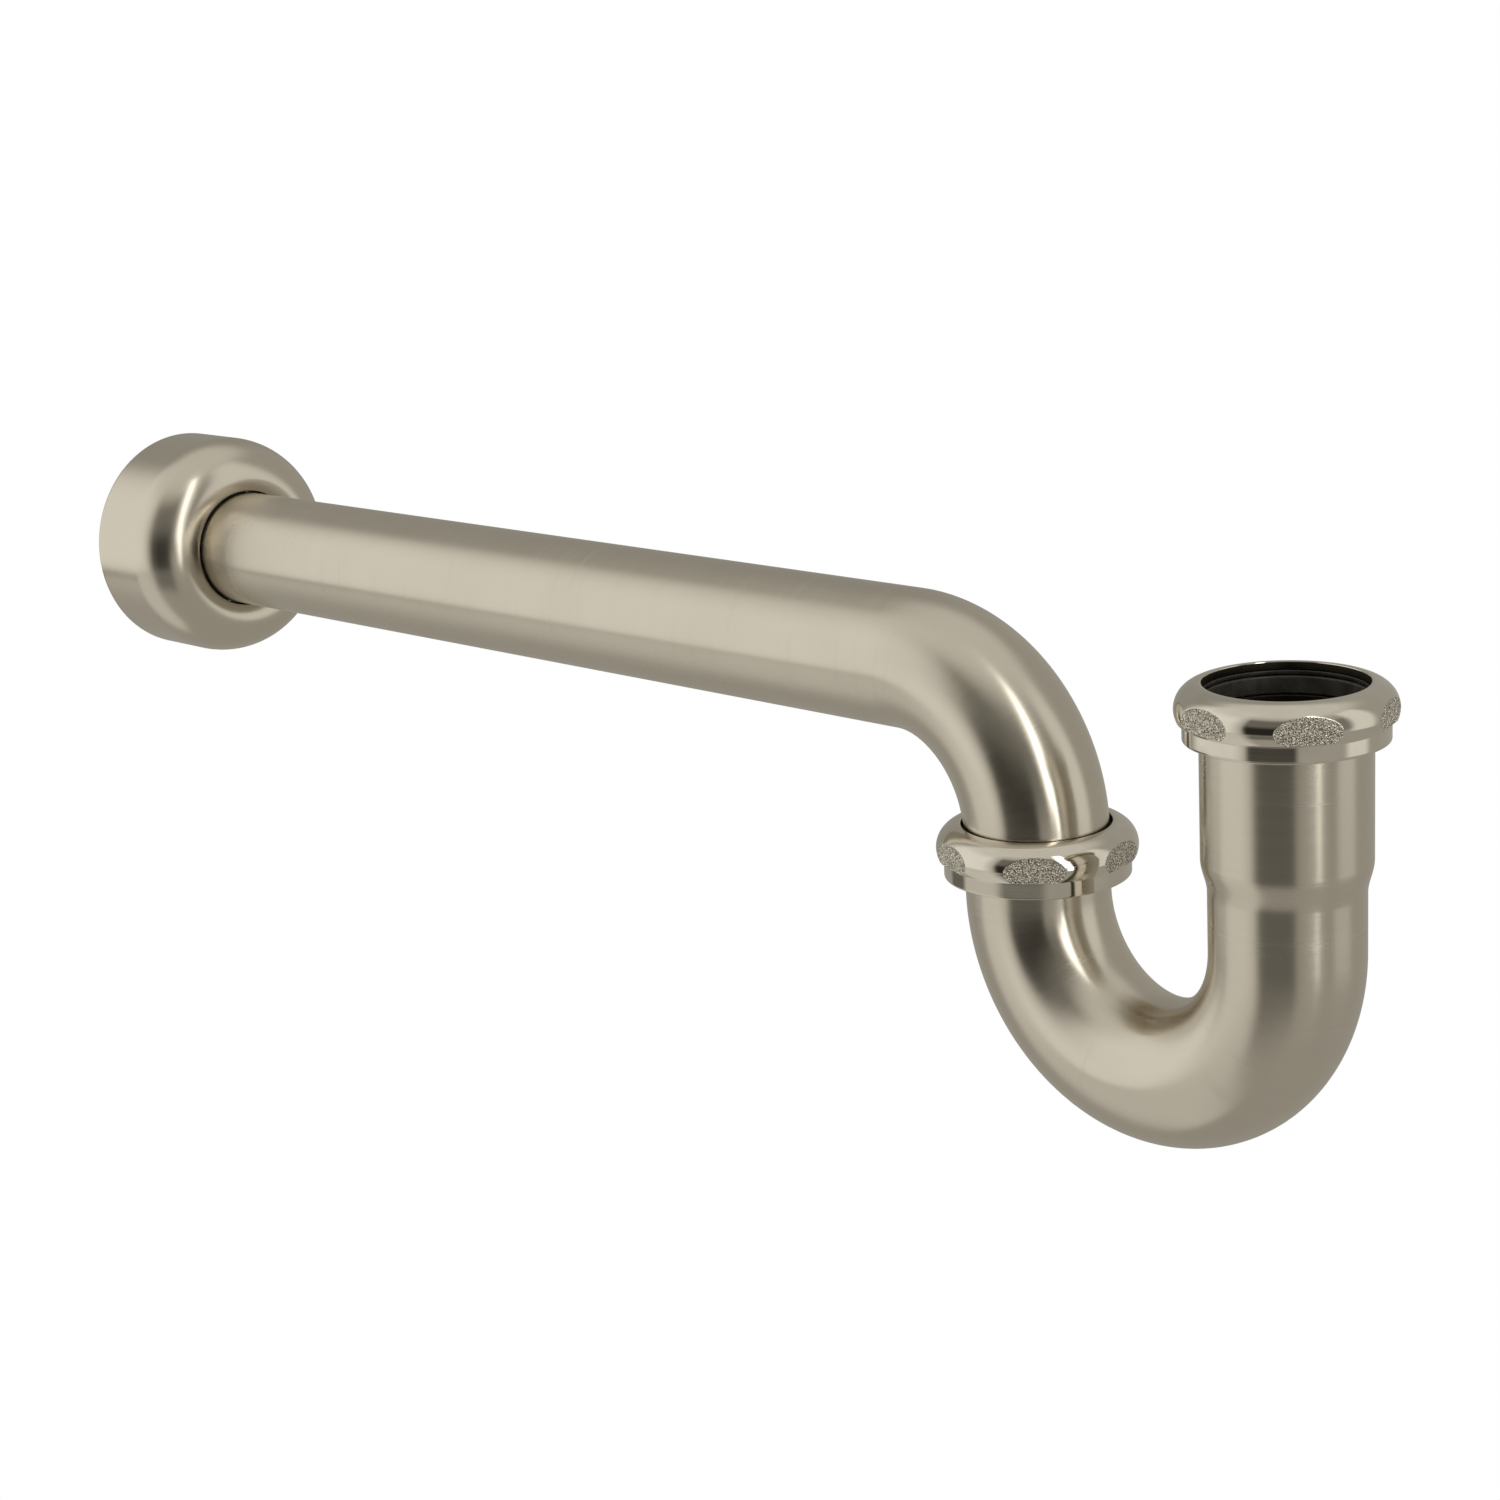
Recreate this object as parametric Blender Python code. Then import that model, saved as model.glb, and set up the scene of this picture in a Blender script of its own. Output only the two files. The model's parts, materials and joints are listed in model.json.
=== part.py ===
"""A tubular 1-1/2 inch P trap: wall flange, wall bend, J bend and two union nuts with their seals.

Metres, +Z up. The wall is the plane X = 0 and the arm runs out along +X at Z = 0, so the origin
is where the arm's axis leaves the wall. Everything below the outlet joint hangs on one empty that
stands on the joint's vertical axis, turned by the angle at which the trap is set.
"""

import math

import bmesh
import bpy
from mathutils import Matrix, Vector

MM = 0.001
GAP = 0.3 * MM
COLUMNS = 32
NUT_COLUMNS = 36

# The tubing: 1-1/2 inch outside, 17 gauge, and a swaged socket that takes a tube of the same size.
TUBE_R = 19.05 * MM
TUBE_WALL = 1.37 * MM
BORE_R = TUBE_R - TUBE_WALL
SOCKET_BORE_R = TUBE_R + GAP
SOCKET_R = 20.6 * MM

# The wall bend: a level arm, a quarter bend down and an end rolled outward into a flare.
WALL_TO_OUTLET = 387.5 * MM
STUB_BEHIND_WALL = 12 * MM
BEND_R = 41.7 * MM
FLARE_R = 22.3 * MM
FLARE_THICKNESS = 1.5 * MM

# The J bend, and the angle it is turned to about the outlet joint.
CENTRES = 81.3 * MM
U_CENTRE_Z = -56.4 * MM
SWAGE_LOW_Z = -40 * MM
SWAGE_HIGH_Z = -33.5 * MM
TRAP_YAW = math.radians(-2.75)

# Both joints have the same nut. Depths are measured down from the top of its lip.
INLET_LIP_Z = 10.9 * MM
OUTLET_LIP_Z = -38.3 * MM
NUT_HEIGHT = 13.9 * MM
NUT_HOLE_R = 19.8 * MM
NUT_R = 26.5 * MM
NUT_FLAT_R = 25.2 * MM
NUT_FLATS = 6
NUT_SKIRT_R = 24.55 * MM
NUT_LIP = 1.9 * MM
LIP_FLAT = 0.8 * MM
NUT_RELIEF_DEPTH = 6.4 * MM
DOME_RADIUS = 6.4 * MM
SKIRT_DEPTH = 9.5 * MM
HOLE_CHAMFER = 0.2 * MM
INLET_NUT_AZIMUTH = math.radians(-41)
OUTLET_NUT_AZIMUTH = math.radians(-49)

# The slip-joint thread, 11-1/2 turns to the inch, with straight flanks.
PITCH = 2.2 * MM
THREAD_DEPTH = 0.8 * MM
FLANK = 0.4 * MM
FERRULE_ROOT_R = 22.4 * MM
FERRULE_CREST_WIDTH = 0.35 * MM
NUT_CREST_R = FERRULE_ROOT_R + GAP
NUT_CREST_WIDTH = 0.65 * MM
RUN_OUT = 0.5 * MM

# The stack inside each nut, as depths below the top of its lip.
RING_TOP, RING_BOTTOM = NUT_LIP + GAP, 3.2 * MM
RING_BORE_R, RING_R = 19.5 * MM, 22.6 * MM
SEAL_TOP = RING_BOTTOM + GAP
FLARE_BOTTOM = SEAL_TOP + FLARE_THICKNESS
SEAL_BOTTOM = 8.0 * MM
SEAL_R = 22.3 * MM
SEAL_BEVEL = 0.4 * MM
RING_BEVEL = 0.15 * MM
RIM_DEPTH = SEAL_BOTTOM + GAP
FERRULE_BOTTOM = NUT_HEIGHT - GAP

# The wall flange: a deep drawn cup whose front rolls back inward round the arm and ends in a
# short neck that runs on the arm.
FLANGE_R = 37.1 * MM
FLANGE_DEPTH = 37.8 * MM
FLANGE_SHEET = 1.2 * MM
SHOULDER_DEPTH = 16 * MM
CREST_R = 24.4 * MM
ROLL_RADIUS = 7 * MM
FLANGE_HOLE_R = 19.8 * MM
NECK_R = TUBE_R + GAP
NECK_SHEET = 0.9 * MM
NECK_MOUTH = 1.2 * MM
NECK_LENGTH = 9.5 * MM

FINISHES = {
    "brushed_nickel": ((0.55, 0.51, 0.44), 1.0, 0.34),
    "polished_nickel": ((0.72, 0.68, 0.60), 1.0, 0.12),
    "bare_brass": ((0.70, 0.52, 0.25), 1.0, 0.30),
    "black_rubber": ((0.015, 0.015, 0.016), 0.0, 0.45),
    "dark_nylon": ((0.03, 0.03, 0.032), 0.0, 0.30),
}


def clear_scene():
    for obj in list(bpy.data.objects):
        bpy.data.objects.remove(obj, do_unlink=True)


def finish_material(name, finish):
    """A material of its own for one piece, in one of the finishes."""
    color, metallic, roughness = FINISHES[finish]
    material = bpy.data.materials.new(name)
    material.use_nodes = True
    shader = material.node_tree.nodes["Principled BSDF"]
    shader.inputs["Base Color"].default_value = (*color, 1.0)
    shader.inputs["Metallic"].default_value = metallic
    shader.inputs["Roughness"].default_value = roughness
    material.diffuse_color = (*color, 1.0)
    return material


def empty(name, location, yaw=0.0, parent=None):
    holder = bpy.data.objects.new(name, None)
    holder.empty_display_size = 20 * MM
    holder.location = location
    holder.rotation_euler = (0.0, 0.0, yaw)
    holder.parent = parent
    bpy.context.scene.collection.objects.link(holder)
    return holder


def solid(name, columns, finish, parent=None, location=(0, 0, 0), seam_row=None):
    """One closed body from columns of points that each run once round its section.

    Neighbouring columns are joined row by row. seam_row says which row of the first column a row
    of the last one meets, which is how a thread climbs one pitch in a full turn.
    """
    rows = len(columns[0])
    seam_row = seam_row or (lambda row: row)
    mesh = bmesh.new()
    grid = [[mesh.verts.new(point) for point in column] for column in columns]
    for index, column in enumerate(grid):
        last = index == len(grid) - 1
        following = grid[0] if last else grid[index + 1]
        for row in range(rows):
            above = (row + 1) % rows
            here, there = (seam_row(row), seam_row(above)) if last else (row, above)
            corners = [column[row], following[here], following[there], column[above]]
            corners = list(dict.fromkeys(corners))
            if len(corners) > 2:
                mesh.faces.new(corners)
    bmesh.ops.remove_doubles(mesh, verts=mesh.verts, dist=1e-6)
    bmesh.ops.recalc_face_normals(mesh, faces=mesh.faces)
    data = bpy.data.meshes.new(name)
    mesh.to_mesh(data)
    mesh.free()
    data.shade_smooth()
    data.set_sharp_from_angle(angle=math.radians(35))
    data.materials.append(finish_material(name, finish))
    piece = bpy.data.objects.new(name, data)
    piece.location = location
    piece.parent = parent
    bpy.context.scene.collection.objects.link(piece)
    return piece


def arc(centre, across, along, start, end, steps):
    """Points (across, along) on an elliptical arc, the angles in degrees from across."""
    turns = [math.radians(start + (end - start) * step / steps) for step in range(steps + 1)]
    return [(centre[0] + across * math.cos(a), centre[1] + along * math.sin(a)) for a in turns]


def turned_columns(section, start=0.0, count=COLUMNS):
    """Columns for a section of (radius, height) points turned about Z.

    section is a list, or a function of the angle that returns one.
    """
    columns = []
    for index in range(count):
        angle = start + math.tau * index / count
        points = section(angle) if callable(section) else section
        columns.append([Vector((r * math.cos(angle), r * math.sin(angle), z)) for r, z in points])
    return columns


def swept_columns(stations):
    """Columns for round sections strung along a path in the XZ plane.

    A station is (x, z, heading, radius), with the heading in radians from +X towards +Z.
    """
    columns = []
    for index in range(COLUMNS):
        angle = math.tau * index / COLUMNS
        column = []
        for x, z, heading, radius in stations:
            up = Vector((-math.sin(heading), 0, math.cos(heading)))
            offset = up * math.cos(angle) + Vector((0, 1, 0)) * math.sin(angle)
            column.append(Vector((x, 0, z)) + offset * radius)
        columns.append(column)
    return columns


def thread_rows(angle, start, low, high, base_r, tip_r, widths, phase):
    """One column of a thread between two heights, and how many rows one turn of it has.

    widths are the lengths of root, flank, crest and flank along the axis. Rows beyond either end
    collapse onto it, and the thread runs out to base_r there.
    """
    turns = math.ceil((high - low) / PITCH) + 2
    bottom = low - PITCH * (1.0 + phase) + PITCH * (angle - start) / math.tau
    rows = [(base_r, low)]
    for turn in range(turns + 1):
        height = bottom + turn * PITCH
        for width, radius in zip(widths, (base_r, tip_r, tip_r, base_r)):
            height += width
            inside = min(max(height, low), high)
            fade = min(1.0, (inside - low) / RUN_OUT, (high - inside) / RUN_OUT)
            rows.append((base_r + (radius - base_r) * fade, inside))
    return [*rows, (base_r, high)], len(widths)


def threaded(name, finish, section_rest, thread, start, count, parent, location):
    """A turned piece whose section starts with a thread and goes on with section_rest(angle)."""
    first, per_turn = thread(start)
    last_row = len(first) - 1

    def seam_row(row):
        return min(row + per_turn, last_row) if 0 < row < last_row else row

    columns = turned_columns(lambda angle: thread(angle)[0] + section_rest(angle), start, count)
    return solid(name, columns, finish, parent, location, seam_row)


def wall_flange():
    """The cup over the wall's hole, free to slide and turn on the arm."""
    shoulder = (CREST_R, FLANGE_DEPTH - SHOULDER_DEPTH)
    roll = (CREST_R, FLANGE_DEPTH - ROLL_RADIUS)
    lip_angle = 180 - math.degrees(math.acos((CREST_R - FLANGE_HOLE_R) / ROLL_RADIUS))
    outside, inside = [
        [(FLANGE_R - inset, 0)]
        + arc(shoulder, FLANGE_R - CREST_R - inset, SHOULDER_DEPTH - inset, 0, 90, 6)
        + arc(roll, ROLL_RADIUS - inset, ROLL_RADIUS - inset, 90, lip_angle, 3)
        for inset in (0, FLANGE_SHEET)
    ]
    lip_z = outside[-1][1]
    neck = [
        (NECK_R, lip_z - NECK_MOUTH), (NECK_R, lip_z - NECK_LENGTH),
        (NECK_R + NECK_SHEET, lip_z - NECK_LENGTH),
    ]
    columns = turned_columns(outside + neck + inside[::-1])
    lay_along_arm = Matrix.Rotation(math.radians(90), 4, "Y")
    columns = [[lay_along_arm @ point for point in column] for column in columns]
    solid("wall_flange", columns, "brushed_nickel")


def bend_stations(radius, end_z):
    """The arm, the quarter bend and the short way down to end_z, at one radius of tube."""
    stations = [(-STUB_BEHIND_WALL, 0, 0, radius)]
    centre_x = WALL_TO_OUTLET - BEND_R
    steps = 9
    for step in range(steps + 1):
        turn = math.radians(90) * step / steps
        x = centre_x + BEND_R * math.sin(turn)
        stations.append((x, BEND_R * (math.cos(turn) - 1), -turn, radius))
    stations.append((WALL_TO_OUTLET, end_z, math.radians(-90), radius))
    return stations


def wall_bend():
    flare_top = OUTLET_LIP_Z - SEAL_TOP
    flare_bottom = OUTLET_LIP_Z - FLARE_BOTTOM
    down = math.radians(-90)
    outside = bend_stations(TUBE_R, flare_top)
    flare = [(WALL_TO_OUTLET, z, down, FLARE_R) for z in (flare_top, flare_bottom)]
    inside = bend_stations(BORE_R, flare_bottom)
    solid("wall_bend", swept_columns(outside + flare + inside[::-1]), "brushed_nickel")


def u_stations(radius):
    """The U, from the foot of the outlet leg round to the foot of the inlet leg."""
    steps = 16
    stations = []
    for step in range(steps + 1):
        turn = math.pi * step / steps
        x = CENTRES / 2 * (1 - math.cos(turn))
        z = U_CENTRE_Z - CENTRES / 2 * math.sin(turn)
        stations.append((x, z, turn - math.radians(90), radius))
    return stations


def j_bend(parent):
    """The U and both legs. The inlet leg is swaged out to take a tube of the same size."""
    up, down = math.radians(90), math.radians(-90)
    outlet_end = OUTLET_LIP_Z - RIM_DEPTH
    inlet_end = INLET_LIP_Z - RIM_DEPTH
    outside = [(0, outlet_end, down, TUBE_R)] + u_stations(TUBE_R)
    outside += [(CENTRES, SWAGE_LOW_Z, up, TUBE_R), (CENTRES, SWAGE_HIGH_Z, up, SOCKET_R)]
    outside += [(CENTRES, inlet_end, up, SOCKET_R)]
    inside = [(0, outlet_end, down, BORE_R)] + u_stations(BORE_R)
    inside += [(CENTRES, SWAGE_LOW_Z, up, BORE_R), (CENTRES, SWAGE_HIGH_Z, up, SOCKET_BORE_R)]
    inside += [(CENTRES, inlet_end, up, SOCKET_BORE_R)]
    solid("j_bend", swept_columns(outside + inside[::-1]), "brushed_nickel", parent)


def ferrule(name, bore_r, parent, location):
    """The threaded collar brazed on an end of the J bend."""
    high, low = -RIM_DEPTH, -FERRULE_BOTTOM
    root_width = PITCH - FERRULE_CREST_WIDTH - 2 * FLANK
    widths = (root_width, FLANK, FERRULE_CREST_WIDTH, FLANK)
    crest_r = FERRULE_ROOT_R + THREAD_DEPTH

    def thread(angle):
        return thread_rows(angle, 0.0, low, high, FERRULE_ROOT_R, crest_r, widths, 0.0)

    threaded(name, "bare_brass", lambda angle: [(bore_r, high), (bore_r, low)],
             thread, 0.0, COLUMNS, parent, location)


def nut_outside():
    """The nut's outer profile from the lip's hole down to the skirt's foot."""
    dome_centre = (NUT_R - DOME_RADIUS, -DOME_RADIUS)
    lip_r = NUT_HOLE_R + HOLE_CHAMFER
    profile = [(NUT_HOLE_R, -HOLE_CHAMFER), (lip_r, 0), (lip_r + LIP_FLAT, 0)]
    profile += arc(dome_centre, DOME_RADIUS, DOME_RADIUS, 78, -24, 8)
    profile += [(NUT_SKIRT_R, -SKIRT_DEPTH), (NUT_SKIRT_R, -NUT_HEIGHT)]
    return profile


def slip_nut(name, azimuth, parent, location):
    """A domed nut with flats cut into the dome, so that each shows as a lens."""
    high, low = -NUT_RELIEF_DEPTH, -NUT_HEIGHT
    root_r = NUT_CREST_R + THREAD_DEPTH
    root_width = PITCH - NUT_CREST_WIDTH - 2 * FLANK
    widths = (root_width, FLANK, NUT_CREST_WIDTH, FLANK)
    flat_step = math.tau / NUT_FLATS

    def section_rest(angle):
        off_flat = (angle - azimuth + flat_step / 2) % flat_step - flat_step / 2
        flat = NUT_FLAT_R / math.cos(off_flat)
        outside = [(min(r, flat), z) for r, z in nut_outside()]
        return [(root_r, -NUT_LIP), (NUT_HOLE_R, -NUT_LIP)] + outside

    # The nut's crest lies half a pitch from the collar's, so that it sits in the groove.
    climb = FERRULE_BOTTOM - NUT_HEIGHT + (FERRULE_CREST_WIDTH - NUT_CREST_WIDTH) / 2
    phase = (climb / PITCH - azimuth / math.tau - 0.5) % 1.0

    def thread(angle):
        return thread_rows(angle, azimuth, low, high, root_r, NUT_CREST_R, widths, phase)

    threaded(name, "polished_nickel", section_rest, thread, azimuth, NUT_COLUMNS, parent,
             location)


def flat_ring(name, bore_r, outer_r, top, bottom, bevel, finish, parent, location):
    """A ring of rectangular section with its corners taken off."""
    section = [
        (bore_r + bevel, -top), (outer_r - bevel, -top), (outer_r, -top - bevel),
        (outer_r, -bottom + bevel), (outer_r - bevel, -bottom), (bore_r + bevel, -bottom),
        (bore_r, -bottom + bevel), (bore_r, -top - bevel),
    ]
    solid(name, turned_columns(section), finish, parent, location)


def joint_stack(side, lip, nut_azimuth, ferrule_bore_r, seal_bore_r, seal_top):
    """Everything that one nut holds, from its lip down, round the empty on its axis."""
    slip_nut(f"{side}_slip_nut", nut_azimuth, lip, (0, 0, 0))
    flat_ring(f"{side}_friction_ring", RING_BORE_R, RING_R, RING_TOP, RING_BOTTOM,
              RING_BEVEL, "dark_nylon", lip, (0, 0, 0))
    flat_ring(f"{side}_washer", seal_bore_r, SEAL_R, seal_top, SEAL_BOTTOM,
              SEAL_BEVEL, "black_rubber", lip, (0, 0, 0))
    ferrule(f"{side}_ferrule", ferrule_bore_r, lip, (0, 0, 0))


def build():
    clear_scene()
    wall_flange()
    wall_bend()
    trap = empty("trap_axis", (WALL_TO_OUTLET, 0, 0), TRAP_YAW)
    j_bend(trap)
    outlet_lip = empty("outlet_nut_axis", (0, 0, OUTLET_LIP_Z), parent=trap)
    inlet_lip = empty("inlet_nut_axis", (CENTRES, 0, INLET_LIP_Z), parent=trap)
    joint_stack("outlet", outlet_lip, OUTLET_NUT_AZIMUTH, TUBE_R + GAP, BORE_R,
                FLARE_BOTTOM + GAP)
    joint_stack("inlet", inlet_lip, INLET_NUT_AZIMUTH, SOCKET_R + GAP, SOCKET_BORE_R, SEAL_TOP)


build()
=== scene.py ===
"""The looks of the P trap: brushed tubes, polished nuts with sanded flats, seals and threads.

Everything is in metres in the CAD frame: the arm runs along +X from the wall, +Z is up. Joint
positions and the tube's radius come from the frame. Other lengths are millimetres times MM.
"""

import json
import math

import bmesh
import bpy
import numpy as np
from mathutils import Matrix, Vector

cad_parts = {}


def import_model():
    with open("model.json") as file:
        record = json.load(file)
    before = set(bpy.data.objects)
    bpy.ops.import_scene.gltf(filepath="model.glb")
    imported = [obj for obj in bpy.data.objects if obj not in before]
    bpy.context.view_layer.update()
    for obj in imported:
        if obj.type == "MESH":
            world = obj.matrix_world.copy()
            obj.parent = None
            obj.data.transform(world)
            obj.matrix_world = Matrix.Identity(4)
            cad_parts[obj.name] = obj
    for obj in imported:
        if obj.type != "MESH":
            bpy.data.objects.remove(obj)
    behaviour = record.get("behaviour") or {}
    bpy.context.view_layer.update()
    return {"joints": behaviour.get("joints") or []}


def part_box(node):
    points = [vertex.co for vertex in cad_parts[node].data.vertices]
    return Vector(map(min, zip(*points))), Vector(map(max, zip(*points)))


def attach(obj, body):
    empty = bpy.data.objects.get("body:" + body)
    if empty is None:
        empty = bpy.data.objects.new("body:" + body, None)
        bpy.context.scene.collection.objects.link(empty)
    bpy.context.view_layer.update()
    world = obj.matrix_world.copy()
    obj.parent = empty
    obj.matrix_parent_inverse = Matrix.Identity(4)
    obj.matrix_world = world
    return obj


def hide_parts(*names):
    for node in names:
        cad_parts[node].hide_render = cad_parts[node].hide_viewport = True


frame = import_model()

MM = 0.001
GAP = 0.3 * MM
EDGE = 0.25 * MM
JOINTS = {joint["name"]: joint for joint in frame["joints"]}

# Places that the frame gives: the two nut axes at their lips, the arm's end and the tube.
OUTLET_LIP = Vector(JOINTS["outlet_nut_turn"]["pos_m"])
INLET_LIP = Vector(JOINTS["inlet_nut_turn"]["pos_m"])
TRAP_YAW = math.atan2(INLET_LIP.y - OUTLET_LIP.y, INLET_LIP.x - OUTLET_LIP.x)
CENTRES = (INLET_LIP - OUTLET_LIP).to_2d().length
ARM_END_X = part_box("wall_bend")[0].x
TUBE_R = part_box("wall_bend")[1].z
FLANGE_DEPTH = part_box("wall_flange")[1].x

# Tubing.
TUBE_WALL = 1.37 * MM
BORE_R = TUBE_R - TUBE_WALL
SOCKET_BORE_R = TUBE_R + GAP
SOCKET_R = 20.6 * MM
BEND_R = 41.7 * MM
FLARE_R = 22.3 * MM
FLARE_THICKNESS = 1.5 * MM
U_CENTRE_Z = -56.4 * MM
SWAGE_LOW_Z = -41 * MM
SWAGE_HIGH_Z = -32.6 * MM

# The nut, as depths below its lip and radii.
NUT_HEIGHT = 13.9 * MM
NUT_HOLE_R = 19.8 * MM
NUT_R = 26.45 * MM
NUT_FLAT_R = 25.2 * MM
NUT_FLATS = 6
NUT_SKIRT_R = 24.55 * MM
NUT_LIP = 1.9 * MM
NUT_RELIEF_DEPTH = 6.4 * MM
DOME_RADIUS = 6.4 * MM
DOME_START, DOME_END = 84, -26
SKIRT_DEPTH = 9.5 * MM
SKIRT_CORNER, NUT_FOOT_CORNER = 0.15 * MM, 0.3 * MM
LONGEST_SKIRT_ROW = 0.4 * MM
INLET_NUT_AZIMUTH = math.radians(-41) + TRAP_YAW
OUTLET_NUT_AZIMUTH = math.radians(-49) + TRAP_YAW

# The stipple on a nut's flats, which fades in from their edges.
STIPPLE_WAVELENGTH = 0.7 * MM
STIPPLE_DEPTH = 0.085 * MM
STIPPLE_BIAS = 0.7
STIPPLE_WAVES = 36
STIPPLE_CONTRAST = 2.2
STIPPLE_FADE = 0.12 * MM

# The thread: 11-1/2 turns to the inch.
PITCH = 2.2 * MM
THREAD_DEPTH = 0.8 * MM
FLANK = 0.4 * MM
FERRULE_ROOT_R = 22.4 * MM
FERRULE_CREST_WIDTH = 0.35 * MM
NUT_CREST_R = FERRULE_ROOT_R + GAP
NUT_CREST_WIDTH = 0.65 * MM
RUN_OUT = 0.5 * MM

# What each nut holds, as depths below its lip.
RING_TOP, RING_BOTTOM = NUT_LIP + GAP, 3.2 * MM
RING_BORE_R, RING_R = 19.4 * MM, 22.6 * MM
SEAL_TOP = RING_BOTTOM + GAP
FLARE_BOTTOM = SEAL_TOP + FLARE_THICKNESS
SEAL_BOTTOM = 8.0 * MM
SEAL_R = 22.3 * MM
RIM_DEPTH = SEAL_BOTTOM + GAP
FERRULE_BOTTOM = NUT_HEIGHT - GAP

# The wall flange, whose front rolls inward into a neck that runs on the arm.
FLANGE_R = 37.1 * MM
FLANGE_SHEET = 1.2 * MM
SHOULDER_DEPTH = 16 * MM
CREST_R = 24.4 * MM
ROLL_RADIUS = 7 * MM
ROLL_START = 92
FLANGE_EDGE = 0.3 * MM
FLANGE_HOLE_R = 19.8 * MM
NECK_R = 19.35 * MM
NECK_SHEET = 0.9 * MM
NECK_MOUTH = 1.2 * MM
NECK_LENGTH = 9.5 * MM

UP, DOWN = math.radians(90), math.radians(-90)

# How finely the mesh is cut.
TUBE_COLUMNS = 144
FLANGE_COLUMNS = 180
THREAD_COLUMNS = 180
RING_COLUMNS = 144
FLAT_COLUMNS, CORNER_COLUMNS = 130, 12
WELD = 2e-7
SHARP_ANGLE = math.radians(40)


# ---------------------------------------------------------------- meshes

def finish_mesh(name, vertices, faces, uvs, materials, slots):
    """A smooth-shaded object from arrays, its faces turned outward."""
    corners = vertices[faces]
    first, rest = corners[:, 0], corners[:, 1:] - corners[:, :1]
    volume = np.einsum("ij,ij->", first, np.cross(rest[:, 0], rest[:, 1]))
    volume += np.einsum("ij,ij->", first, np.cross(rest[:, 1], rest[:, 2]))
    if volume < 0:
        faces, uvs = faces[:, ::-1], uvs[:, ::-1]
    mesh = bpy.data.meshes.new(name)
    mesh.from_pydata(vertices.tolist(), [], faces.tolist())
    layer = mesh.uv_layers.new(name="grain")
    layer.data.foreach_set("uv", uvs.reshape(-1).astype(np.float32))
    mesh.polygons.foreach_set("material_index", slots.astype(np.int32))
    for material in materials:
        mesh.materials.append(material)
    cleaned = bmesh.new()
    cleaned.from_mesh(mesh)
    bmesh.ops.remove_doubles(cleaned, verts=cleaned.verts, dist=WELD)
    bmesh.ops.dissolve_degenerate(cleaned, edges=cleaned.edges, dist=WELD)
    cleaned.to_mesh(mesh)
    cleaned.free()
    mesh.shade_smooth()
    mesh.set_sharp_from_angle(angle=SHARP_ANGLE)
    piece = bpy.data.objects.new(name, mesh)
    bpy.context.scene.collection.objects.link(piece)
    return piece


def shell(name, grid, materials, slots, seam_row=None):
    """One closed body from grid[column, row], where rows and columns both close on themselves.

    The UV map runs once round in U and in metres along the rows in V. slots holds the number of
    the material for each row, or for each column and row.
    """
    columns, rows = grid.shape[:2]
    row = np.arange(rows)
    above = (row + 1) % rows
    steps = np.linalg.norm(np.diff(grid, axis=1), axis=2).mean(axis=0)
    along = np.concatenate([[0.0], np.cumsum(steps)])
    closing = along[-1] + np.linalg.norm(grid[:, 0] - grid[:, -1], axis=1).mean()
    along_above = np.append(along[1:], closing)
    faces, uvs = [], []
    for column in range(columns):
        last = column == columns - 1
        following = 0 if last else column + 1
        here = seam_row(row) if last and seam_row else row
        there = seam_row(above) if last and seam_row else above
        faces.append(np.stack([column * rows + row, following * rows + here,
                               following * rows + there, column * rows + above], axis=1))
        low, high = np.full(rows, column / columns), np.full(rows, (column + 1) / columns)
        corners = [(low, along), (high, along), (high, along_above), (low, along_above)]
        uvs.append(np.stack([np.stack(corner, axis=1) for corner in corners], axis=1))
    slots = np.broadcast_to(slots, (columns, rows)).reshape(-1)
    return finish_mesh(name, grid.reshape(-1, 3), np.concatenate(faces), np.concatenate(uvs),
                       materials, slots)


def turned(section, angles):
    """grid[column, row] for a section of (radius, height) points, or a function of the angle."""
    grid = []
    for angle in angles:
        points = np.array(section(angle) if callable(section) else section)
        grid.append(np.stack([points[:, 0] * math.cos(angle), points[:, 0] * math.sin(angle),
                              points[:, 1]], axis=1))
    return np.array(grid)


def swept(stations):
    """grid[column, row] for round sections strung along a path in the XZ plane.

    A station is (x, z, heading, radius), with the heading in radians from +X towards +Z.
    """
    x, z, heading, radius = np.array(stations).T
    angles = np.linspace(0, math.tau, TUBE_COLUMNS, endpoint=False)[:, None]
    across = np.cos(angles) * radius
    return np.stack([x - np.sin(heading) * across, np.sin(angles) * radius + 0 * x,
                     z + np.cos(heading) * across], axis=2)


def arc(centre, across, along, start, end, steps):
    """Points (across, along) on an elliptical arc, the angles in degrees from across."""
    turns = np.radians(np.linspace(start, end, steps + 1))
    return [(centre[0] + across * math.cos(a), centre[1] + along * math.sin(a)) for a in turns]


def rounded(corners, steps=4):
    """An outline from (across, along, radius) corners, each rounded by its own radius."""
    points = []
    count = len(corners)
    for index, (x, y, radius) in enumerate(corners):
        here = Vector((x, y))
        before = Vector(corners[index - 1][:2]) - here
        after = Vector(corners[(index + 1) % count][:2]) - here
        if radius <= 0 or before.length < 1e-9 or after.length < 1e-9:
            points.append((x, y))
            continue
        half = before.angle(after) / 2
        reach = min(radius / math.tan(half), before.length * 0.49, after.length * 0.49)
        start, end = here + before.normalized() * reach, here + after.normalized() * reach
        for step in range(steps + 1):
            share = step / steps
            blend = start.lerp(here, share).lerp(here.lerp(end, share), share)
            points.append((blend.x, blend.y))
    return points


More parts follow.
